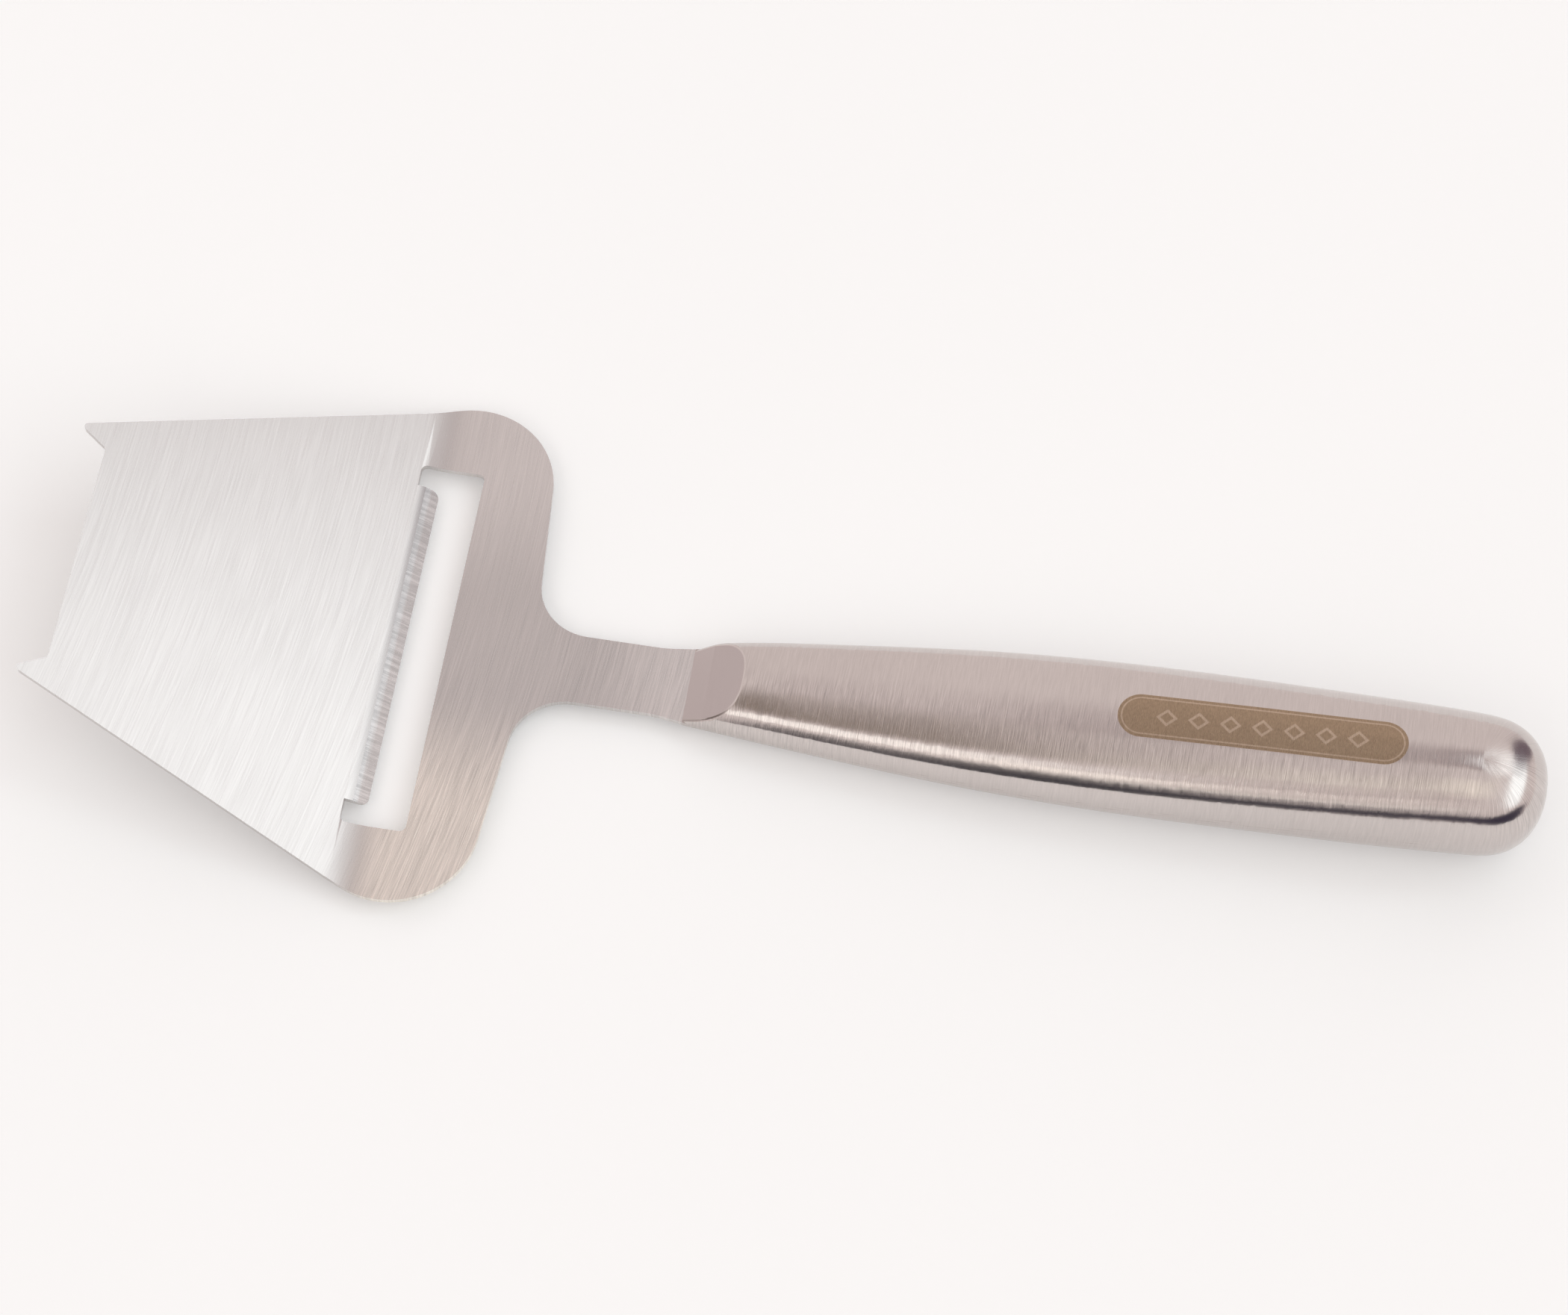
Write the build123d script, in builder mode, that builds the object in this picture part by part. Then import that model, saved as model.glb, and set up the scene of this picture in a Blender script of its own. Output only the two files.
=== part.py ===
"""Stainless steel cheese slicer: a stamped head and neck welded to a hollow handle.

X runs from the head to the handle's end, Y across the head and Z up. The origin is
under the middle of the slicer, on the surface that the handle's flat underside
rests on. All sizes are in millimetres and all angles in degrees.
"""

from build123d import *
from math import cos, radians, sin, tan, pi
import os

os.makedirs("parts", exist_ok=True)

# Sheet of the head, neck and tang
plate_thickness = 1.0
plate_top_height = 3.0
plate_pitch = 18.0
bend_radius = 20.0
bend_setback = 7.8

# Outline of the head, measured from the slot's rear edge and the centre line
front_edge_reach = 54.3
front_edge_half_width = 17.6
prong_reach = 58.7
prong_half_width = 20.4
prong_tip_radius = 0.6
front_corner_radius = 0.8
shoulder_setback = 9.3
shoulder_half_width = 46.7
shoulder_radius = 13.0
neck_root_setback = 12.7
neck_half_width = 5.5
neck_root_radius = 8.5
neck_flare_length = 4.5
neck_flare_radius = 16.0
neck_end_half_width = 6.1

# Slot and blade lip
slot_half_length = 30.2
slot_corner_radius = 1.0
notch_reach = 9.8
notch_width = 3.6
lip_reach = 1.6
bevel_start = 0.75
edge_land = 0.15
blade_corner_radius = 1.2
lip_root_overlap = 1.0

# Tang inside the handle
tang_half_width = 4.6
tang_length = 38.0
tang_clearance = 0.1

# Hollow handle
mouth_reach = 37.0
handle_length = 126.8
handle_half_width = 11.35
handle_height = 18.6
handle_wall = 1.0
sole_depth = 0.4
nose_length = 10.6
ramp_slope = 34.5
ramp_edge_radius = 0.6
nose_squareness = 2.3
nose_height_squareness = 2.5

# Place along the handle, half-width and height at that place, as shares of the above,
# and the section's squareness there
section_shares = (
    (0.000, 0.540, 0.338, 3.0),
    (0.071, 0.655, 0.475, 2.65),
    (0.158, 0.755, 0.535, 2.7),
    (0.339, 0.932, 0.662, 2.6),
    (0.513, 1.000, 0.770, 2.55),
    (0.694, 0.985, 0.872, 2.45),
    (0.820, 0.950, 0.940, 2.4),
)
nose_start_shares = (0.905, 0.990)
section_points = 24
nose_turns = (0.0, 26.0, 46.0, 62.0, 75.0, 84.0)

# Welds
weld_band = 3.0
under_bead = 1.0
seam_bead = 0.8
seam_rise = 2.9
seam_mouth_height = 3.4

# One overrun serves every cut
overrun = 5.0

# Places worked out from the sizes
slot_edge_x = (prong_reach - mouth_reach - handle_length) / 2
mouth_x = slot_edge_x + mouth_reach
handle_end_x = mouth_x + handle_length
weld_end_x = mouth_x + weld_band
blade_half_length = slot_half_length - notch_width
plate_plane = Plane(origin=(slot_edge_x, 0, plate_top_height))
profile_plane = Plane(origin=(slot_edge_x, 0, plate_top_height), x_dir=(1, 0, 0), z_dir=(0, -1, 0))
ramp_plane = Plane(
    origin=(mouth_x, 0, plate_top_height),
    x_dir=(0, 1, 0),
    z_dir=(-sin(radians(ramp_slope)), 0, cos(radians(ramp_slope))),
)
seam_plane = Plane(
    origin=(mouth_x, 0, seam_mouth_height),
    x_dir=(0, 1, 0),
    z_dir=(-sin(radians(seam_rise)), 0, cos(radians(seam_rise))),
)


def on_plate(reach, depth):
    """A point of the pitched plate: reach in front of the bend, depth below its top."""
    along = cos(radians(plate_pitch))
    rise = sin(radians(plate_pitch))
    return (-bend_setback - reach * along - depth * rise, reach * rise - depth * along)


def sheet_side(depth):
    """The bent sheet's side view at one depth below its top, from front to tang end."""
    kink = bend_setback + depth * tan(radians(plate_pitch) / 2)
    return FilletPolyline(
        on_plate(prong_reach, depth),
        (-kink, -depth),
        (mouth_reach + tang_length, -depth),
        radius=bend_radius + depth,
    )


def handle_section(half_width, low, high, squareness):
    """Points of one rounded section of the handle, starting under its middle."""
    middle = (high + low) / 2
    half_height = (high - low) / 2
    points = []
    for step in range(section_points):
        turn = 2 * pi * step / section_points - pi / 2
        across = abs(cos(turn)) ** (2 / squareness) * (1 if cos(turn) >= 0 else -1)
        up = abs(sin(turn)) ** (2 / squareness) * (1 if sin(turn) >= 0 else -1)
        points.append((half_width * across, middle + half_height * up))
    return points


def handle_stations(inset):
    """Place, half-width, lowest and highest point and squareness of each section."""
    stations = []
    for along_share, width_share, height_share, squareness in section_shares:
        half_width = handle_half_width * width_share - inset
        high = handle_height * height_share - inset
        place = mouth_x + handle_length * along_share
        stations.append((place, half_width, inset - sole_depth, high, squareness))
    width_share, height_share = nose_start_shares
    half_width = handle_half_width * width_share - inset
    low = inset - sole_depth
    high = handle_height * height_share - inset
    for nose_turn in nose_turns:
        forward = sin(radians(nose_turn))
        closing = (1 - forward**nose_squareness) ** (1 / nose_squareness)
        closing_height = (1 - forward**nose_height_squareness) ** (1 / nose_height_squareness)
        middle = (high + low) / 2
        half_height = closing_height * (high - low) / 2
        place = handle_end_x - nose_length + (nose_length - inset) * forward
        stations.append(
            (place, half_width * closing, middle - half_height, middle + half_height, nose_squareness)
        )
    return stations


def handle_form(inset):
    """The handle's rounded form, drawn in by the inset, flat below and at the ramp."""
    stations = handle_stations(inset)
    tip_height = (stations[-1][2] + stations[-1][3]) / 2
    with BuildPart() as form:
        for place, half_width, low, high, squareness in stations:
            with BuildSketch(Plane.YZ.offset(place)):
                with BuildLine():
                    Spline(*handle_section(half_width, low, high, squareness), periodic=True)
                make_face()
        loft(sections=[*form.pending_faces, Vertex(handle_end_x - inset, 0, tip_height)])
        split(bisect_by=Plane.XY.offset(inset), keep=Keep.TOP)
        split(bisect_by=ramp_plane.offset(-inset), keep=Keep.BOTTOM)
    return form.part


def ramp_edge(sides):
    """The curved edge between the ramp and the crown, from all the faces of a solid."""
    flat_sides = sides.filter_by(GeomType.PLANE)
    upward_sides = flat_sides.filter_by(lambda side: side.normal_at().Z > 0)
    ramp = upward_sides.sort_by(Axis.Z)[-1]
    return ramp.edges().sort_by(SortBy.LENGTH)[-1]


# Blade lip: the sheet's straight end behind the bend, ground to an edge
with BuildPart() as blade_lip:
    lip_root = notch_reach - bend_setback + lip_root_overlap
    with BuildSketch(profile_plane):
        with BuildLine():
            Polyline(
                on_plate(lip_root, 0),
                on_plate(bevel_start, 0),
                on_plate(-lip_reach, plate_thickness - edge_land),
                on_plate(-lip_reach, plate_thickness),
                on_plate(lip_root, plate_thickness),
                close=True,
            )
        make_face()
    extrude(amount=blade_half_length, both=True)
    lip_front = -on_plate(lip_root, plate_thickness)[0] + blade_corner_radius
    lip_back = on_plate(-lip_reach, plate_thickness - edge_land)[0]
    with BuildSketch(plate_plane):
        with Locations(((lip_back - lip_front) / 2, 0)):
            RectangleRounded(lip_front + lip_back, 2 * blade_half_length, blade_corner_radius)
    extrude(amount=overrun, both=True, mode=Mode.INTERSECT)

# Slicer plate: head with prongs and slot, neck and tang from one bent sheet
with BuildPart() as slicer_plate:
    with BuildSketch(profile_plane):
        with BuildLine():
            top_side = sheet_side(0)
            under_side = sheet_side(plate_thickness)
            Line(top_side @ 0, under_side @ 0)
            Line(top_side @ 1, under_side @ 1)
        make_face()
    extrude(amount=shoulder_half_width, both=True)
    with BuildSketch(plate_plane):
        with BuildLine():
            flank = FilletPolyline(
                (-front_edge_reach, 0),
                (-front_edge_reach, front_edge_half_width),
                (-prong_reach, prong_half_width),
                (shoulder_setback, shoulder_half_width),
                (neck_root_setback, neck_half_width),
                (mouth_reach - neck_flare_length, neck_half_width),
                (mouth_reach, neck_end_half_width),
                radius=[
                    front_corner_radius,
                    prong_tip_radius,
                    shoulder_radius,
                    neck_root_radius,
                    neck_flare_radius,
                ],
            )
            Polyline(flank @ 1, (mouth_reach, 0), flank @ 0)
        make_face()
        mirror(about=Plane.XZ)
        with Locations((mouth_reach, 0)):
            Rectangle(tang_length, 2 * tang_half_width, align=(Align.MIN, Align.CENTER))
    extrude(amount=prong_reach, both=True, mode=Mode.INTERSECT)
    with BuildSketch(plate_plane):
        with Locations((-notch_reach / 2, 0)):
            RectangleRounded(notch_reach, 2 * slot_half_length, slot_corner_radius)
    extrude(amount=prong_reach, both=True, mode=Mode.SUBTRACT)
    add(blade_lip.part)

# The handle's outside and inside, before the wall is parted into shells and welds
handle_outside = handle_form(0)

with BuildPart() as handle_inside:
    add(handle_form(handle_wall))
    split(bisect_by=Plane.YZ.offset(mouth_x + handle_wall), keep=Keep.TOP)

with BuildPart() as handle_body:
    add(handle_outside)
    add(handle_inside.part, mode=Mode.SUBTRACT)

# Upper shell: the crown and the ramp with its eased edge, from the weld band to the end
with BuildPart() as handle_upper_shell:
    add(handle_body.part)
    split(bisect_by=seam_plane.offset(seam_bead / 2), keep=Keep.TOP)
    split(bisect_by=Plane.YZ.offset(weld_end_x), keep=Keep.TOP)
    fillet(ramp_edge(faces()), ramp_edge_radius)

# Lower shell: the tray with its flat underside and the front wall's notch for the tang
with BuildPart() as handle_lower_shell:
    add(handle_body.part)
    split(bisect_by=seam_plane.offset(-seam_bead / 2), keep=Keep.BOTTOM)
    with BuildSketch(profile_plane):
        with Locations((mouth_reach, 0)):
            Rectangle(weld_band, overrun, align=(Align.MIN, Align.MIN))
    extrude(amount=handle_half_width, both=True, mode=Mode.SUBTRACT)
    with BuildSketch(profile_plane):
        with Locations((mouth_reach, -plate_thickness)):
            Rectangle(weld_band, overrun, align=(Align.MIN, Align.MIN))
    extrude(amount=tang_half_width + tang_clearance, both=True, mode=Mode.SUBTRACT)

# Seam weld: the bead between the shells, along both sides and round the end
with BuildPart() as handle_seam_weld:
    add(handle_body.part)
    split(bisect_by=seam_plane.offset(seam_bead / 2), keep=Keep.BOTTOM)
    split(bisect_by=seam_plane.offset(-seam_bead / 2), keep=Keep.TOP)
    split(bisect_by=Plane.YZ.offset(weld_end_x), keep=Keep.TOP)

# Weld on top of the neck, ground to the ramp's slope
with BuildPart() as neck_top_weld:
    add(handle_outside)
    fillet(ramp_edge(faces()), ramp_edge_radius)
    split(bisect_by=Plane.XY.offset(plate_top_height), keep=Keep.TOP)
    split(bisect_by=Plane.YZ.offset(weld_end_x), keep=Keep.BOTTOM)

# Weld bead in the corner under the neck
with BuildPart() as neck_under_weld:
    with BuildSketch(profile_plane):
        with BuildLine():
            Polyline(
                (mouth_reach, -plate_thickness),
                (mouth_reach - under_bead, -plate_thickness),
                (mouth_reach, -plate_thickness - under_bead),
                close=True,
            )
        make_face()
    extrude(amount=tang_half_width, both=True)

slicer_plate.part.label = "slicer_plate"
handle_upper_shell.part.label = "handle_upper_shell"
handle_lower_shell.part.label = "handle_lower_shell"
handle_seam_weld.part.label = "handle_seam_weld"
neck_top_weld.part.label = "neck_top_weld"
neck_under_weld.part.label = "neck_under_weld"
export_step(slicer_plate.part, "parts/slicer_plate.step")
export_step(handle_upper_shell.part, "parts/handle_upper_shell.step")
export_step(handle_lower_shell.part, "parts/handle_lower_shell.step")
export_step(handle_seam_weld.part, "parts/handle_seam_weld.step")
export_step(neck_top_weld.part, "parts/neck_top_weld.step")
export_step(neck_under_weld.part, "parts/neck_under_weld.step")
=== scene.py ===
"""Looks of the stainless steel cheese slicer: finishes, edges, studio and camera.

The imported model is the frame, in metres. X runs from the head to the handle's end,
Y across the head and Z up, with the floor at zero.
"""

import math

import bpy
from bpy.props import FloatProperty, FloatVectorProperty, IntProperty, PointerProperty
from mathutils import Matrix, Vector


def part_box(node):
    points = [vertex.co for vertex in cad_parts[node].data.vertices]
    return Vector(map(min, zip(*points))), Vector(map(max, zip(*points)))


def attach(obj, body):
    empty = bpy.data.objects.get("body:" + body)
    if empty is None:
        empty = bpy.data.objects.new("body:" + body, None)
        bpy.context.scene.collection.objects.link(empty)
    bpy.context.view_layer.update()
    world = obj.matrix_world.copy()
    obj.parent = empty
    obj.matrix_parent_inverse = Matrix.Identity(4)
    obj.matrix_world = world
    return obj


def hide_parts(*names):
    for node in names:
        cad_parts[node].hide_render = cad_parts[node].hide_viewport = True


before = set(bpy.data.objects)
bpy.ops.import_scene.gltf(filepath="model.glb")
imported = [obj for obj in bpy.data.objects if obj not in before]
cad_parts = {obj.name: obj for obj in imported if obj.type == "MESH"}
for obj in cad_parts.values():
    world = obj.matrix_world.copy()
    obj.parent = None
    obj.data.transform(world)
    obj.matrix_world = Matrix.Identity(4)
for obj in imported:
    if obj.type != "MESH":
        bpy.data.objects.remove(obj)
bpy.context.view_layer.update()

bl_info = {
    "name": "Cheese slicer",
    "version": (1, 0, 0),
    "blender": (4, 5, 0),
    "location": "View3D > Sidebar > Slicer",
    "description": "Finishes, studio and camera of a stainless steel cheese slicer",
    "category": "Object",
}

MM = 0.001

# A noise pattern's middle value, and the two values that most of it lies between
NOISE_MIDDLE = 0.5
NOISE_SPREAD = (0.3, 0.7)


# Settings

class SlicerSteel(bpy.types.PropertyGroup):
    """Colours and grain of the steel."""

    plate_colour: FloatVectorProperty(
        name="Plate colour", description="Base colour of the stamped plate",
        subtype="COLOR", size=3, min=0, max=1, default=(0.620, 0.590, 0.578))
    handle_colour: FloatVectorProperty(
        name="Handle colour", description="Base colour of the handle's shells",
        subtype="COLOR", size=3, min=0, max=1, default=(0.610, 0.560, 0.540))
    weld_colour: FloatVectorProperty(
        name="Weld colour", description="Base colour of the ground welds",
        subtype="COLOR", size=3, min=0, max=1, default=(0.614, 0.563, 0.545))
    etch_colour: FloatVectorProperty(
        name="Etch colour", description="Colour of the etched panel on the handle",
        subtype="COLOR", size=3, min=0, max=1, default=(0.360, 0.265, 0.182))
    etch_rim_colour: FloatVectorProperty(
        name="Etch rim colour", description="Colour of the lines left in the etched panel",
        subtype="COLOR", size=3, min=0, max=1, default=(0.56, 0.44, 0.34))
    edge_round: FloatProperty(
        name="Edge round", description="Width of the plate's eased edges",
        subtype="DISTANCE", unit="LENGTH", min=0, default=0.12 * MM)
    streak_width: FloatProperty(
        name="Streak width", description="Width of one brushing streak",
        subtype="DISTANCE", unit="LENGTH", min=0, default=0.17 * MM)
    scratch_length: FloatProperty(
        name="Scratch length", description="Length of one coarse scratch",
        subtype="DISTANCE", unit="LENGTH", min=0, default=7 * MM)
    handle_streak_length: FloatProperty(
        name="Handle streak length", description="Length of one brushing streak on the handle",
        subtype="DISTANCE", unit="LENGTH", min=0, default=3 * MM)
    streak_length: FloatProperty(
        name="Streak length", description="Length of one brushing streak on the plate",
        subtype="DISTANCE", unit="LENGTH", min=0, default=11 * MM)


class SlicerPanel(bpy.types.PropertyGroup):
    """Place and size of the etched panel on top of the handle."""

    centre_x: FloatProperty(
        name="Centre along", description="Panel's centre along the handle",
        subtype="DISTANCE", unit="LENGTH", default=69 * MM)
    centre_y: FloatProperty(
        name="Centre across", description="Panel's centre across the handle",
        subtype="DISTANCE", unit="LENGTH", default=0.6 * MM)
    length: FloatProperty(
        name="Length", description="Panel's whole length",
        subtype="DISTANCE", unit="LENGTH", min=0, default=42 * MM)
    width: FloatProperty(
        name="Width", description="Panel's whole width",
        subtype="DISTANCE", unit="LENGTH", min=0, default=7 * MM)
    lozenge_pitch: FloatProperty(
        name="Lozenge pitch", description="Spacing of the lozenges along the panel",
        subtype="DISTANCE", unit="LENGTH", min=0, default=4.6 * MM)
    lozenges: IntProperty(
        name="Lozenges", description="Number of lozenges along the panel", min=1, default=7)


class SlicerView(bpy.types.PropertyGroup):
    """Camera settings."""

    azimuth: FloatProperty(
        name="Azimuth", description="Camera's turn about the vertical",
        subtype="ANGLE", default=math.radians(9.2))
    elevation: FloatProperty(
        name="Elevation", description="Camera's height angle over the floor",
        subtype="ANGLE", default=math.radians(63.97))
    roll: FloatProperty(
        name="Roll", description="Camera's turn about its own line of sight",
        subtype="ANGLE", default=math.radians(0.1))
    distance: FloatProperty(
        name="Distance", description="From the camera to the point it looks at",
        subtype="DISTANCE", unit="LENGTH", min=0, default=560.1 * MM)
    lens: FloatProperty(
        name="Lens", description="Focal length in millimetres on a 36 mm sensor",
        min=1, default=85.71)
    target: FloatVectorProperty(
        name="Target", description="The point in the middle of the picture",
        subtype="TRANSLATION", unit="LENGTH", size=3,
        default=(-2.25 * MM, 6.9 * MM, 3.0 * MM))


class SlicerStudio(bpy.types.PropertyGroup):
    """Floor and light."""

    floor_colour: FloatVectorProperty(
        name="Floor colour", description="Colour of the floor",
        subtype="COLOR", size=3, min=0, max=1, default=(0.90, 0.92, 0.925))
    floor_mottle_colour: FloatVectorProperty(
        name="Floor mottle colour", description="Second colour of the floor, in soft patches",
        subtype="COLOR", size=3, min=0, max=1, default=(0.905, 0.925, 0.93))
    room_colour: FloatVectorProperty(
        name="Room colour", description="Colour of the room's soft light",
        subtype="COLOR", size=3, min=0, max=1, default=(0.89, 0.81, 0.79))
    room_strength: FloatProperty(
        name="Room strength", description="Brightness of the room's soft light",
        min=0, default=1.0)


# Node helpers

class Recipe:
    """A node tree that is written one step at a time."""

    def __init__(self, tree):
        self.tree = tree
        self.tree.nodes.clear()

    def feed(self, socket, value):
        """Links another node's output to a socket, or sets the socket to a constant."""
        if isinstance(value, bpy.types.NodeSocket):
            self.tree.links.new(value, socket)
        elif socket.type == "RGBA" and len(value) == 3:
            socket.default_value = (*value, 1)
        else:
            socket.default_value = value

    def node(self, kind, inputs=None, **settings):
        """A new node, with its inputs given by name or by index."""
        made = self.tree.nodes.new(kind)
        for name, value in settings.items():
            setattr(made, name, value)
        for key, value in (inputs or {}).items():
            self.feed(made.inputs[key], value)
        return made

    def math(self, operation, *values):
        """Number that a Math node gives."""
        made = self.node("ShaderNodeMath", dict(enumerate(values)), operation=operation)
        return made.outputs[0]

    def product(self, first, *others):
        """Numbers multiplied with each other."""
        for value in others:
            first = self.math("MULTIPLY", first, value)
        return first

    def vector(self, operation, *values):
        """Vector that a Vector Math node gives, or a number where it gives one."""
        made = self.node("ShaderNodeVectorMath", dict(enumerate(values)), operation=operation)
        return made.outputs["Value" if operation in ("DOT_PRODUCT", "LENGTH") else "Vector"]

    def point(self, x, y, z=0.0):
        """Vector from three numbers."""
        return self.node("ShaderNodeCombineXYZ", {"X": x, "Y": y, "Z": z}).outputs[0]

    def band(self, value, low, high, to_low=0.0, to_high=1.0):
        """Value smoothly taken from one range to another, and kept inside it."""
        made = self.node("ShaderNodeMapRange", {
            "Value": value,
            "From Min": low,
            "From Max": high,
            "To Min": to_low,
            "To Max": to_high,
        }, interpolation_type="SMOOTHSTEP")
        return made.outputs["Result"]

    def mix(self, share, first, second):
        """Number between two numbers."""
        made = self.node("ShaderNodeMix", {0: share, 2: first, 3: second}, data_type="FLOAT")
        return made.outputs[0]

    def blend(self, share, first, second):
        """Colour between two colours."""
        made = self.node("ShaderNodeMix", {0: share, 6: first, 7: second}, data_type="RGBA")
        return made.outputs[2]

    def scaled(self, colour, tone):
        """Colour made lighter or darker by a tone."""
        made = self.node("ShaderNodeVectorMath", {0: colour, "Scale": tone}, operation="SCALE")
        return made.outputs[0]

    def streaks(self, place, size, detail=2.0, roughness=0.5):
        """Noise drawn out so that one feature has the given size along each axis."""
        scale = tuple(1 / side for side in size)
        drawn = self.node("ShaderNodeMapping", {"Vector": place, "Scale": scale})
        noise = self.node("ShaderNodeTexNoise", {
            "Vector": drawn.outputs[0],
            "Scale": 1.0,
            "Detail": detail,
            "Roughness": roughness,
        })
        return noise.outputs["Fac"]


def new_material(name):
    """An empty node material, and the recipe that writes it."""
    material = bpy.data.materials.new(name)
    material.use_nodes = True
    return material, Recipe(material.node_tree)


# Brushed steel: how the grain shows in tone, gloss and depth, and the slow drift of tone
GRAIN_CONTRAST = 2.5
GRAIN_ROUGHNESS = 0.02
GRAIN_DEPTH = 0.018 * MM
GRAIN_ANISOTROPY = 0.8
CLOUD_SIZE = (16 * MM, 22 * MM, 22 * MM)
CLOUD_TONE = (0.985, 1.015)


def brushed_steel(name, colour, lay, roughness, relief=None, marks=None):
    """Brushed steel, with a lay for its streaks and marks that are added over them.

    The lay sets the coordinates that the streaks are drawn in, the length of a streak,
    the share of coarse scratches, and the strength of the streaks in tone and relief.
    The lay or the marks set the tangent, which lies across the streaks.
    """
    steel = bpy.context.scene.slicer_steel
    material, recipe = new_material(name)
    place = recipe.node("ShaderNodeTexCoord").outputs["Object"]
    split = recipe.node("ShaderNodeSeparateXYZ", {"Vector": place}).outputs
    parts = {
        "recipe": recipe, "place": place, "x": split["X"], "y": split["Y"], "z": split["Z"],
        "relief": relief, "lift": 1.0,
    }
    lay(parts)

    wide = steel.streak_width
    long = parts["long"]
    short = steel.scratch_length
    fine = recipe.streaks(parts["drawn"], (wide, long, long), detail=3.0, roughness=0.6)
    broad = recipe.streaks(parts["drawn"], (wide, short, short), detail=3.0, roughness=0.55)
    grain = recipe.mix(parts["coarse"], fine, broad)
    off_middle = recipe.math("SUBTRACT", grain, NOISE_MIDDLE)
    swing = recipe.product(off_middle, parts["tone"], GRAIN_CONTRAST)
    drift = recipe.band(recipe.streaks(place, CLOUD_SIZE), *NOISE_SPREAD, *CLOUD_TONE)
    # The tone is scaled by any painted light that the lay sets
    tone = recipe.product(recipe.math("ADD", swing, drift), parts["lift"])
    parts["colour"] = recipe.scaled(colour, tone)
    gloss = recipe.band(grain, *NOISE_SPREAD, GRAIN_ROUGHNESS, -GRAIN_ROUGHNESS)
    parts["rough"] = recipe.math("ADD", roughness, gloss)
    if marks:
        marks(parts)

    bump = recipe.node("ShaderNodeBump", {
        "Height": grain, "Strength": parts["relief"], "Distance": GRAIN_DEPTH})
    shader = recipe.node("ShaderNodeBsdfPrincipled", {
        "Base Color": parts["colour"],
        "Metallic": 1.0,
        "Roughness": parts["rough"],
        "Normal": bump.outputs[0],
        "Tangent": parts["tangent"],
        "Anisotropic": GRAIN_ANISOTROPY,
    })
    recipe.node("ShaderNodeOutputMaterial", {"Surface": shader.outputs[0]})
    return material


def dress(node, material):
    """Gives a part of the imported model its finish."""
    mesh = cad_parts[node].data
    mesh.materials.clear()
    mesh.materials.append(material)


# Plate

# Where the plate's finish, painted sheen and painted shade change: each band starts at its
# first value and is full at its second. These three run along X.
BEHIND_BLADE = (-62 * MM, -54 * MM)
NECK = (-42 * MM, -30 * MM)
NECK_END = (-32 * MM, -18 * MM)

# These three run across the head along Y, where the near side is negative
NEAR_SIDE = (6 * MM, -22 * MM)
SHEEN_CORNER = (-5 * MM, -27 * MM)
OFF_FAR_CORNER = (28 * MM, 8 * MM)

# Lean of the streaks from Y, and how much it changes for each metre across the head
STREAK_LEAN = 0.08
STREAK_LEAN_CHANGE = 1.35

PLATE_ROUGHNESS = 0.26

# Strength of the brushing ahead of the blade, behind it, and where it is strongest
PLATE_RELIEF = (0.01, 0.13, 0.55)
PLATE_TONE = (0.045, 0.18, 0.48)

# Share of coarse scratches where the brushing is weak and where it is strongest
PLATE_COARSE = (0.2, 0.8)

# Brushing on the neck, as a share of the strongest
NECK_SHARE = 0.55

# Painted sheen at the far corner, painted shade on the rest behind the blade, painted
# sheen at the neck's end, and the tint of the warmer painted sheen at the near corner
FAR_CORNER_SHEEN = 1.1
BEHIND_PAINTED_SHADE = 0.97
NECK_END_SHEEN = 1.18
CORNER_SHEEN_TINT = (1.40, 1.38, 1.30)

# The blade's bevel and the grinding marks on it, their tones lightened by painted sheen
BLADE_FRONT = -61.08 * MM
BLADE_EDGE = -58 * MM
BLADE_HALF_WIDTH = 26.7 * MM
GRIND_MARK = (12 * MM, 0.7 * MM, 12 * MM)
GRIND_SPREAD = (0.4, 0.62)
GRIND_TONE_AND_SHEEN = (0.92, 1.26)

# Clean-up of the plate's mesh and its eased edges
MERGE_DISTANCE = 0.001 * MM
FLAT_ANGLE = math.radians(0.2)
SHARP_ANGLE = math.radians(35)
EDGE_SEGMENTS = 3


def plate_lay(parts):
    """Streaks that lean more towards the head's near side, strong there and on the neck."""
    recipe, x, y = parts["recipe"], parts["x"], parts["y"]
    lean = recipe.math("SUBTRACT", STREAK_LEAN, recipe.product(y, STREAK_LEAN_CHANGE))
    swept = recipe.product(y, lean)
    parts["drawn"] = recipe.point(recipe.math("SUBTRACT", x, swept), y, parts["z"])
    parts["long"] = bpy.context.scene.slicer_steel.streak_length

    behind = recipe.band(x, *BEHIND_BLADE)
    near = recipe.product(behind, recipe.band(y, *NEAR_SIDE))
    neck = recipe.product(recipe.band(x, *NECK), NECK_SHARE)
    strong = recipe.math("MAXIMUM", near, neck)
    for key, (ahead, after, most) in (("relief", PLATE_RELIEF), ("tone", PLATE_TONE)):
        parts[key] = recipe.mix(strong, recipe.mix(behind, ahead, after), most)
    parts["coarse"] = recipe.mix(strong, *PLATE_COARSE)
    parts["behind"] = behind


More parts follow.
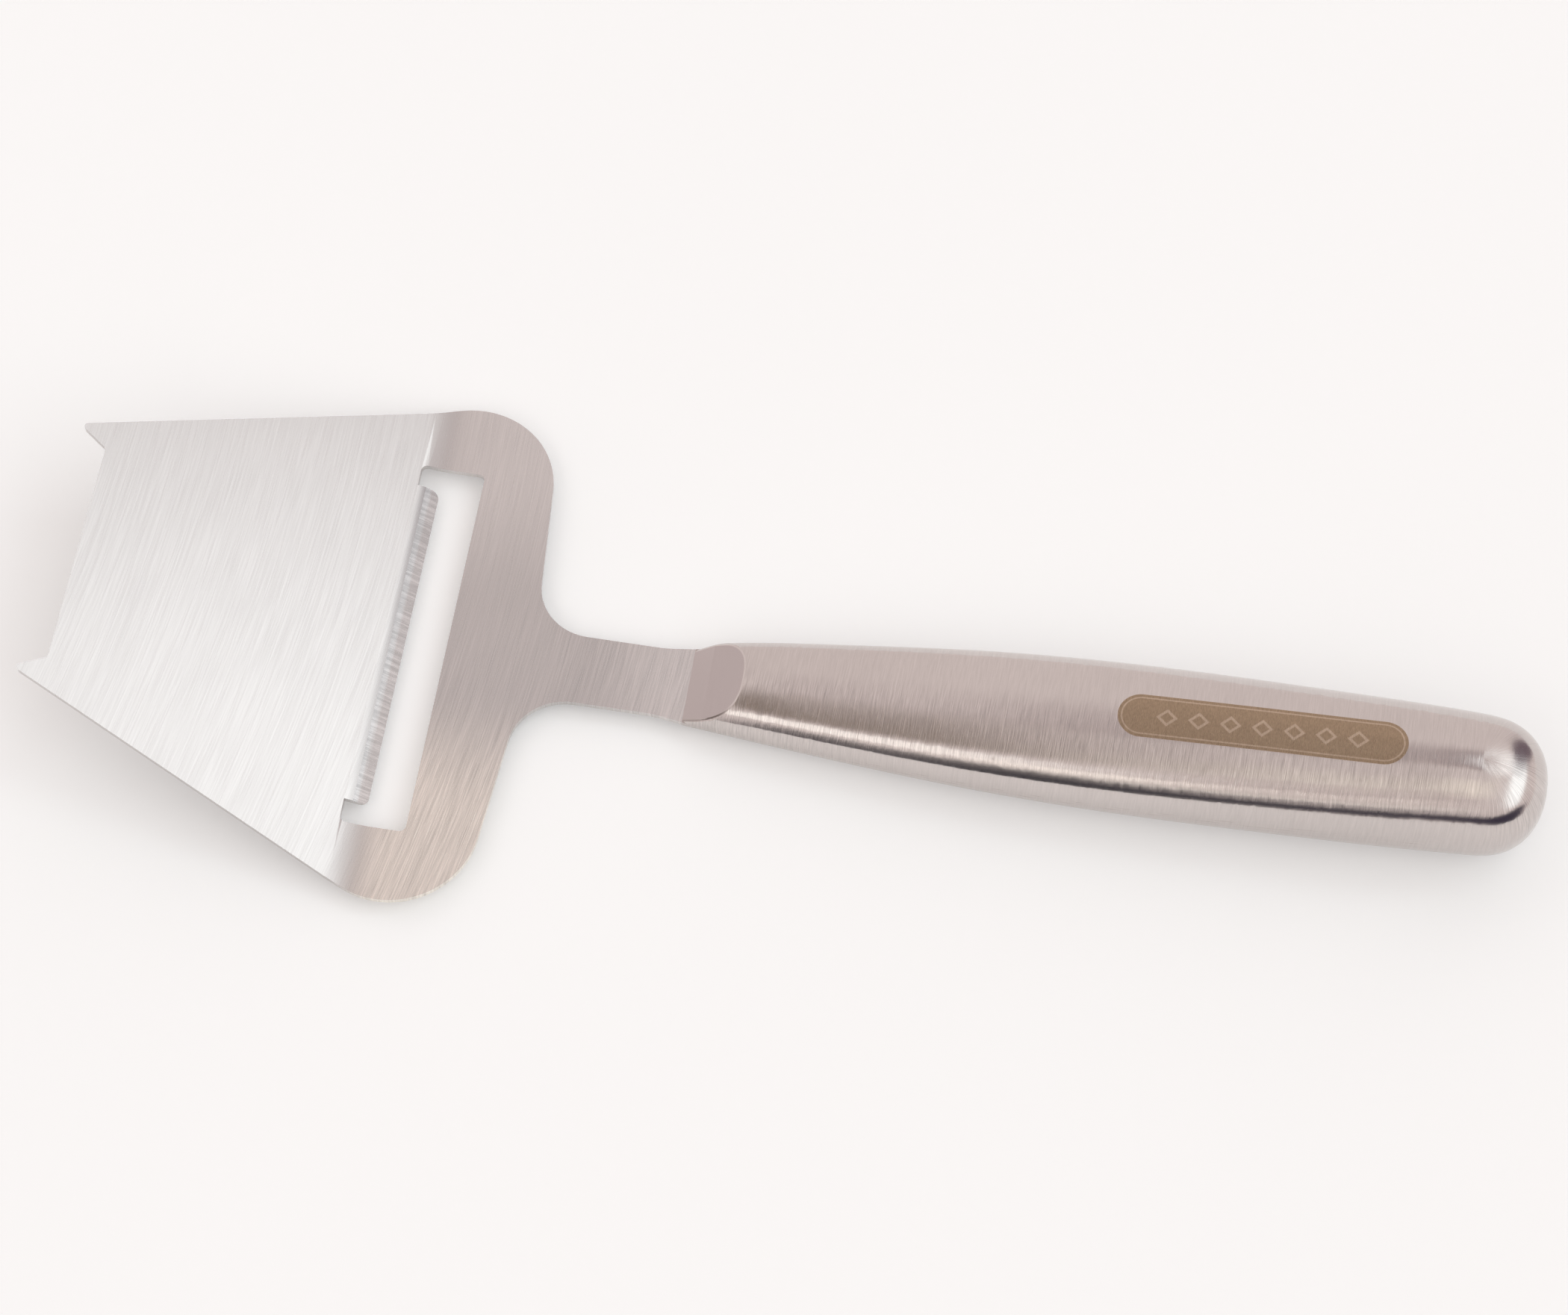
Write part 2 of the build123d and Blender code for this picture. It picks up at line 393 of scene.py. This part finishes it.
def plate_marks(parts):
    """Painted sheen and shade behind the blade, warmer painted sheen at its near corner, and
    grinding marks on the bevel, lightened by painted sheen.
    """
    recipe, x, y = parts["recipe"], parts["x"], parts["y"]
    behind, colour = parts["behind"], parts["colour"]
    # Painted sheen at the far corner and the neck's end, and painted shade on the rest behind
    # the blade
    rest = recipe.product(behind, recipe.band(y, *OFF_FAR_CORNER))
    lift = recipe.mix(rest, recipe.mix(behind, 1.0, FAR_CORNER_SHEEN), BEHIND_PAINTED_SHADE)
    neck_end = recipe.band(x, *NECK_END, 1.0, NECK_END_SHEEN)
    lifted = recipe.scaled(colour, recipe.product(lift, neck_end))
    # A warmer, lighter painted sheen at the near corner, blended over the brushed colour
    sheen_share = recipe.product(behind, recipe.band(y, *SHEEN_CORNER))
    brushed = recipe.blend(sheen_share, lifted, recipe.vector("MULTIPLY", colour, CORNER_SHEEN_TINT))

    bevel = recipe.product(
        recipe.math("GREATER_THAN", x, BLADE_FRONT),
        recipe.math("LESS_THAN", x, BLADE_EDGE),
        recipe.math("LESS_THAN", recipe.math("ABSOLUTE", y), BLADE_HALF_WIDTH))
    grinding = recipe.streaks(parts["place"], GRIND_MARK, detail=6.0, roughness=0.8)
    # Grinding marks as grain, in tones mostly above the plate's colour: lightened by painted
    # sheen
    ground = recipe.scaled(
        bpy.context.scene.slicer_steel.plate_colour,
        recipe.band(grinding, *GRIND_SPREAD, *GRIND_TONE_AND_SHEEN))
    parts["colour"] = recipe.blend(bevel, brushed, ground)
    parts["tangent"] = recipe.point(recipe.math("SUBTRACT", 1.0, bevel), bevel)


def free_copy(node, name):
    """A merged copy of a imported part, as an object of its own."""
    bpy.ops.object.select_all(action="DESELECT")
    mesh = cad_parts[node].data.copy()
    piece = bpy.data.objects.new(name, mesh)
    bpy.context.scene.collection.objects.link(piece)
    piece.select_set(True)
    bpy.context.view_layer.objects.active = piece
    bpy.ops.object.mode_set(mode="EDIT")
    bpy.ops.mesh.select_all(action="SELECT")
    bpy.ops.mesh.customdata_custom_splitnormals_clear()
    bpy.ops.mesh.remove_doubles(threshold=MERGE_DISTANCE)
    bpy.ops.mesh.dissolve_limited(angle_limit=FLAT_ANGLE)
    bpy.ops.object.mode_set(mode="OBJECT")
    return piece


def ease_edges(piece, width):
    """Rounds a piece's sharp edges by a little, as deburring leaves them."""
    bevel = piece.modifiers.new("eased_edges", "BEVEL")
    bevel.width = width
    bevel.segments = EDGE_SEGMENTS
    bevel.limit_method = "ANGLE"
    bevel.angle_limit = SHARP_ANGLE
    bevel.use_clamp_overlap = True
    bpy.ops.object.modifier_apply(modifier=bevel.name)
    bpy.ops.object.shade_smooth_by_angle(angle=SHARP_ANGLE)
    flat = piece.modifiers.new("flat_faces_lead", "WEIGHTED_NORMAL")
    flat.keep_sharp = True
    bpy.ops.object.modifier_apply(modifier=flat.name)


def stand_in(piece, node, material):
    """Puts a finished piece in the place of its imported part."""
    piece.data.materials.clear()
    piece.data.materials.append(material)
    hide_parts(node)
    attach(piece, "root")


class SLICER_OT_plate(bpy.types.Operator):
    """The stamped plate with eased edges, brushed, with painted sheen and shade behind the
    blade and the ground bevel of its blade
    """

    bl_idname = "slicer.plate"
    bl_label = "Plate"

    def execute(self, context):
        steel = context.scene.slicer_steel
        plate = free_copy("slicer_plate", "eased_plate")
        ease_edges(plate, steel.edge_round)
        stand_in(plate, "slicer_plate", brushed_steel(
            "plate_steel_and_painted_sheen", steel.plate_colour, plate_lay, PLATE_ROUGHNESS,
            marks=plate_marks))
        return {"FINISHED"}


# Handle

# The rounded end, the lean of the streaks from Y, how the tangent fans out round the end,
# and a small gap that keeps its turn defined on the centre line
NOSE_LENGTH = 10.6 * MM
HANDLE_LEAN = 0.04
NOSE_FAN = -1.4
CENTRE_GAP = 0.05 * MM

# A point on the ramp, its normal, and how far off it the ramp's finish starts and is full
RAMP_POINT = (-15.55 * MM, 0.0, 3 * MM)
RAMP_NORMAL = (-0.566, 0.0, 0.824)
RAMP_SKIN = (0.08 * MM, 0.03 * MM)

# The band along the crown where the brushing is strong: its middle and its half-widths
STRONG_Y = -4 * MM
STRONG_BAND = (6 * MM, 3 * MM)

# Tone and coarse scratches of the brushing beside that band and in it, the share of the
# relief that is left beside it, and what the ramp has instead, with a painted sheen on it
HANDLE_TONE = (0.15, 0.44)
HANDLE_COARSE = 0.4
CALM_RELIEF_SHARE = 0.45
RAMP_TONE = 0.05
RAMP_RELIEF = 0.05
RAMP_SHEEN = 1.07

# Roughness and relief of each finish
CROWN_FINISH = (0.18, 1.0)
SIDE_FINISH = (0.18, 0.8)
TOP_WELD_FINISH = (0.24, 0.14)
UNDER_WELD_FINISH = (0.36, 0.55)

# The etched panel: soft edges, the line inside its rim, and the lozenges' shares of the
# pitch and of the panel's half-width
ETCH_SOFTNESS = 0.08 * MM
LINE_INSET = 0.45 * MM
LINE_WIDTH = 0.30 * MM
LOZENGE_LENGTH = 0.36
LOZENGE_WIDTH = 0.42
LOZENGE_INNER = 0.55
LOZENGE_SOFTNESS = 0.1

# How bare the lines are left, the etching's grain, its tones and its extra roughness
BARE_SHARE = 0.8
ETCH_GRAIN = (0.12 * MM, 0.5 * MM, 0.5 * MM)
ETCH_TONE = (0.85, 1.12)
ETCH_LINE_TONE = (0.9, 1.1)
ETCH_ROUGHNESS = 0.10


def handle_lay(parts):
    """Streaks across the crown and down the sides, fanned round the end, faint on the ramp,
    which gets a painted sheen.
    """
    recipe, x, y = parts["recipe"], parts["x"], parts["y"]
    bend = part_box("handle_upper_shell")[1].x - NOSE_LENGTH
    past = recipe.math("MAXIMUM", recipe.math("SUBTRACT", x, bend), 0.0)
    side = recipe.math("ADD", recipe.math("ABSOLUTE", y), CENTRE_GAP)
    turn = recipe.math("SUBTRACT", math.pi / 2, recipe.math("ARCTAN2", side, past))
    along = recipe.math(
        "ADD", recipe.math("MINIMUM", x, bend), recipe.product(turn, NOSE_LENGTH))
    swept = recipe.product(y, HANDLE_LEAN)
    parts["drawn"] = recipe.point(recipe.math("SUBTRACT", along, swept), y, parts["z"])
    away = recipe.product(recipe.math("SIGN", y), recipe.product(past, NOSE_FAN))
    parts["tangent"] = recipe.point(side, away)
    parts["long"] = bpy.context.scene.slicer_steel.handle_streak_length

    height = recipe.vector(
        "DOT_PRODUCT", recipe.vector("SUBTRACT", parts["place"], RAMP_POINT), RAMP_NORMAL)
    ramp = recipe.band(recipe.math("ABSOLUTE", height), *RAMP_SKIN)
    off_middle = recipe.math("ABSOLUTE", recipe.math("SUBTRACT", y, STRONG_Y))
    strong = recipe.band(off_middle, *STRONG_BAND)
    relief = parts["relief"]
    calm = relief * CALM_RELIEF_SHARE
    parts["relief"] = recipe.mix(ramp, recipe.mix(strong, calm, relief), RAMP_RELIEF)
    parts["tone"] = recipe.mix(ramp, recipe.mix(strong, *HANDLE_TONE), RAMP_TONE)
    # Painted sheen that makes the ramp lighter
    parts["lift"] = recipe.mix(ramp, 1.0, RAMP_SHEEN)
    parts["coarse"] = HANDLE_COARSE


def etched_panel(parts):
    """A plain rounded panel on the crown, with a line and a row of lozenges left bare."""
    steel = bpy.context.scene.slicer_steel
    panel = bpy.context.scene.slicer_panel
    radius = panel.width / 2
    recipe = parts["recipe"]
    across = recipe.math("SUBTRACT", parts["y"], panel.centre_y)
    along = recipe.math("SUBTRACT", parts["x"], panel.centre_x)
    off_middle = recipe.math("ABSOLUTE", along)
    past_end = recipe.math(
        "MAXIMUM", recipe.math("SUBTRACT", off_middle, panel.length / 2 - radius), 0.0)
    reach = recipe.vector("LENGTH", recipe.point(past_end, across))
    inside = recipe.band(reach, radius, radius - ETCH_SOFTNESS)

    outer = radius - LINE_INSET
    inner = outer - LINE_WIDTH
    line = recipe.product(
        recipe.band(reach, inner, inner + ETCH_SOFTNESS),
        recipe.band(reach, outer, outer - ETCH_SOFTNESS))
    cell = recipe.math("PINGPONG", along, panel.lozenge_pitch / 2)
    lozenge = recipe.math(
        "ADD",
        recipe.math("DIVIDE", cell, panel.lozenge_pitch * LOZENGE_LENGTH),
        recipe.math("DIVIDE", recipe.math("ABSOLUTE", across), radius * LOZENGE_WIDTH))
    row = recipe.product(
        recipe.band(lozenge, 1.0, 1.0 - LOZENGE_SOFTNESS),
        recipe.band(lozenge, LOZENGE_INNER, LOZENGE_INNER + LOZENGE_SOFTNESS),
        recipe.math("LESS_THAN", off_middle, panel.lozenges * panel.lozenge_pitch / 2))
    bare = recipe.product(recipe.math("MAXIMUM", line, row), BARE_SHARE)

    burn = recipe.streaks(parts["place"], ETCH_GRAIN, detail=3.0, roughness=0.6)
    brown = recipe.scaled(steel.etch_colour, recipe.band(burn, *NOISE_SPREAD, *ETCH_TONE))
    copper = recipe.scaled(
        steel.etch_rim_colour, recipe.band(burn, *NOISE_SPREAD, *ETCH_LINE_TONE))
    mask = recipe.product(inside, recipe.math("SUBTRACT", 1.0, bare))
    etched = recipe.blend(mask, copper, brown)
    parts["colour"] = recipe.blend(inside, parts["colour"], etched)
    parts["rough"] = recipe.math("ADD", parts["rough"], recipe.product(inside, ETCH_ROUGHNESS))


class SLICER_OT_handle(bpy.types.Operator):
    """Satin brushed finish of the handle, with a painted sheen on its ramp and the etched panel
    on its crown
    """

    bl_idname = "slicer.handle"
    bl_label = "Handle"

    def execute(self, context):
        steel = context.scene.slicer_steel
        dress("handle_upper_shell", brushed_steel(
            "handle_top_steel", steel.handle_colour, handle_lay, *CROWN_FINISH,
            marks=etched_panel))
        satin = brushed_steel(
            "handle_side_steel", steel.handle_colour, handle_lay, *SIDE_FINISH)
        dress("handle_lower_shell", satin)
        dress("handle_seam_weld", satin)
        return {"FINISHED"}


class SLICER_OT_welds(bpy.types.Operator):
    """Smooth ground finish of the welds between the neck and the handle"""

    bl_idname = "slicer.welds"
    bl_label = "Neck welds"

    def execute(self, context):
        steel = context.scene.slicer_steel
        dress("neck_top_weld", brushed_steel(
            "weld_ground_steel", steel.weld_colour, handle_lay, *TOP_WELD_FINISH))
        dress("neck_under_weld", brushed_steel(
            "weld_bead_steel", steel.weld_colour, handle_lay, *UNDER_WELD_FINISH))
        return {"FINISHED"}


# Studio

# The floor's width in metres, how far it lies below the slicer, and its finish
FLOOR_SIZE = 12.0
FLOOR_DROP = 0.05 * MM
FLOOR_MOTTLE = (200 * MM, 200 * MM, 200 * MM)
FLOOR_ROUGHNESS = 0.9
FLOOR_GLOW = 0.16

# The camera's sensor width in millimetres, and the nearest distance that it sees
SENSOR_WIDTH = 36.0
CLIP_START = 10 * MM

# Oval patches of the room as the steel sees them: the direction of the centre, the
# half-sizes, the share of them that the full core takes, and the colour. A patch covers
# those before it.
ROOM_PATCHES = {
    "ceiling edge": ((0.14, 0.36, 0.90), (0.36, 0.20, 0.28), 0.49, (0.33, 0.25, 0.25)),
    "soft box": ((0.41, 0.37, 0.82), (0.37, 0.15, 0.60), 0.50, (1.83, 1.91, 1.93)),
    "end lamp": ((0.69, -0.01, 0.59), (0.23, 0.70, 0.47), 0.69, (1.61, 1.71, 1.73)),
    "camera": ((-0.27, -0.05, 0.90), (0.20, 0.45, 0.11), 0.58, (0.14, 0.09, 0.05)),
    "crown lamp": ((0.10, -0.31, 0.92), (0.17, 0.39, 0.32), 0.56, (1.21, 1.14, 1.03)),
    "low lamp": ((-0.07, -0.81, 0.60), (0.15, 0.22, 0.44), 0.58, (2.30, 2.22, 2.06)),
    "strip lamp": ((-0.33, -0.58, 0.77), (0.19, 0.17, 0.28), 0.73, (1.68, 1.64, 1.58)),
    "lamp stand": ((0.00, -0.67, 0.80), (0.08, 0.36, 0.43), 0.66, (0.42, 0.32, 0.31)),
    "far curtain": ((0.62, 0.61, 0.35), (0.24, 0.35, 0.55), 0.66, (0.19, 0.14, 0.17)),
    "dark end": ((0.50, -0.66, 0.16), (0.66, 0.75, 0.23), 0.70, (0.05, 0.04, 0.07)),
    "dark front": ((-0.14, -0.82, 0.05), (0.26, 0.65, 0.67), 0.60, (0.04, 0.04, 0.05)),
    "far wall": ((-0.90, 0.40, 0.20), (0.30, 0.35, 0.30), 0.40, (0.68, 0.60, 0.60)),
    "door": ((-0.86, -0.16, 0.45), (0.24, 0.38, 0.32), 0.40, (0.16, 0.12, 0.11)),
}


def room_glow(recipe, direction, centre, size, core):
    """One in the core of an oval patch of the room, falling to zero at its rim."""
    offset = recipe.vector("DIVIDE", recipe.vector("SUBTRACT", direction, centre), size)
    return recipe.band(recipe.vector("LENGTH", offset), 1.0, core)


def build_world(scene):
    """The room's soft, even light, with its lamps and its dark edges."""
    studio = scene.slicer_studio
    world = bpy.data.worlds.new("studio_room")
    scene.world = world
    world.use_nodes = True
    recipe = Recipe(world.node_tree)
    direction = recipe.node("ShaderNodeTexCoord").outputs["Generated"]
    light = studio.room_colour
    for name, (centre, size, core, colour) in ROOM_PATCHES.items():
        glow = room_glow(recipe, direction, centre, size, core)
        light = recipe.blend(glow, light, colour)
        light.node.label = name
    room = recipe.node("ShaderNodeBackground", {
        "Color": light, "Strength": studio.room_strength})
    recipe.node("ShaderNodeOutputWorld", {"Surface": room.outputs[0]})


class SLICER_OT_studio(bpy.types.Operator):
    """Pale floor, soft studio light and the camera"""

    bl_idname = "slicer.studio"
    bl_label = "Studio"

    def execute(self, context):
        scene = context.scene
        scene.view_settings.view_transform = "Standard"
        build_world(scene)
        self.lay_floor(scene)
        self.place_camera(scene)
        return {"FINISHED"}

    def lay_floor(self, scene):
        """A wide pale floor, with a faint glow that only the camera and gloss see."""
        studio = scene.slicer_studio
        bpy.ops.object.select_all(action="DESELECT")
        bpy.ops.mesh.primitive_plane_add(size=FLOOR_SIZE, location=(0, 0, -FLOOR_DROP))
        floor = bpy.context.active_object
        floor.name = "floor"
        bpy.ops.object.transform_apply(location=True, rotation=True, scale=True)
        material, recipe = new_material("floor_paint")
        place = recipe.node("ShaderNodeTexCoord").outputs["Object"]
        mottle = recipe.band(recipe.streaks(place, FLOOR_MOTTLE, detail=3.0), *NOISE_SPREAD)
        path = recipe.node("ShaderNodeLightPath")
        seen = path.outputs["Is Camera Ray"]
        for ray in ("Is Glossy Ray", "Is Transmission Ray"):
            seen = recipe.math("MAXIMUM", seen, path.outputs[ray])
        shader = recipe.node("ShaderNodeBsdfPrincipled", {
            "Base Color": recipe.blend(mottle, studio.floor_colour, studio.floor_mottle_colour),
            "Roughness": FLOOR_ROUGHNESS,
            "Emission Color": (1, 1, 1, 1),
            "Emission Strength": recipe.product(seen, FLOOR_GLOW),
        })
        recipe.node("ShaderNodeOutputMaterial", {"Surface": shader.outputs[0]})
        floor.data.materials.append(material)

    def place_camera(self, scene):
        """The camera, turned about the vertical, tipped down and rolled a little."""
        view = scene.slicer_view
        level = math.cos(view.elevation)
        back = Vector((
            math.sin(view.azimuth) * level,
            -math.cos(view.azimuth) * level,
            math.sin(view.elevation)))
        right = Vector((math.cos(view.azimuth), math.sin(view.azimuth), 0))
        up = back.cross(right)
        turned_right = math.cos(view.roll) * right + math.sin(view.roll) * up
        turned_up = -math.sin(view.roll) * right + math.cos(view.roll) * up
        data = bpy.data.cameras.new("photo_camera")
        data.sensor_width = SENSOR_WIDTH
        data.sensor_fit = "HORIZONTAL"
        data.lens = view.lens
        data.clip_start = CLIP_START
        camera = bpy.data.objects.new("photo_camera", data)
        scene.collection.objects.link(camera)
        place = Matrix.Translation(Vector(view.target) + back * view.distance)
        turn = Matrix((turned_right, turned_up, back)).transposed().to_4x4()
        camera.matrix_world = place @ turn
        scene.camera = camera


class SLICER_PT_panel(bpy.types.Panel):
    """Steps that finish the slicer"""

    bl_label = "Cheese slicer"
    bl_idname = "SLICER_PT_panel"
    bl_space_type = "VIEW_3D"
    bl_region_type = "UI"
    bl_category = "Slicer"

    def draw(self, context):
        for step in STEPS:
            self.layout.operator(step.bl_idname)


GROUPS = {
    "slicer_steel": SlicerSteel,
    "slicer_panel": SlicerPanel,
    "slicer_view": SlicerView,
    "slicer_studio": SlicerStudio,
}
STEPS = (SLICER_OT_plate, SLICER_OT_handle, SLICER_OT_welds, SLICER_OT_studio)


def register():
    for made in (*GROUPS.values(), *STEPS, SLICER_PT_panel):
        bpy.utils.register_class(made)
    for name, group in GROUPS.items():
        setattr(bpy.types.Scene, name, PointerProperty(type=group))


def unregister():
    for name in GROUPS:
        delattr(bpy.types.Scene, name)
    for made in reversed((*GROUPS.values(), *STEPS, SLICER_PT_panel)):
        bpy.utils.unregister_class(made)


def main():
    register()
    bpy.ops.slicer.plate()
    bpy.ops.slicer.handle()
    bpy.ops.slicer.welds()
    bpy.ops.slicer.studio()


if __name__ == "__main__":
    main()
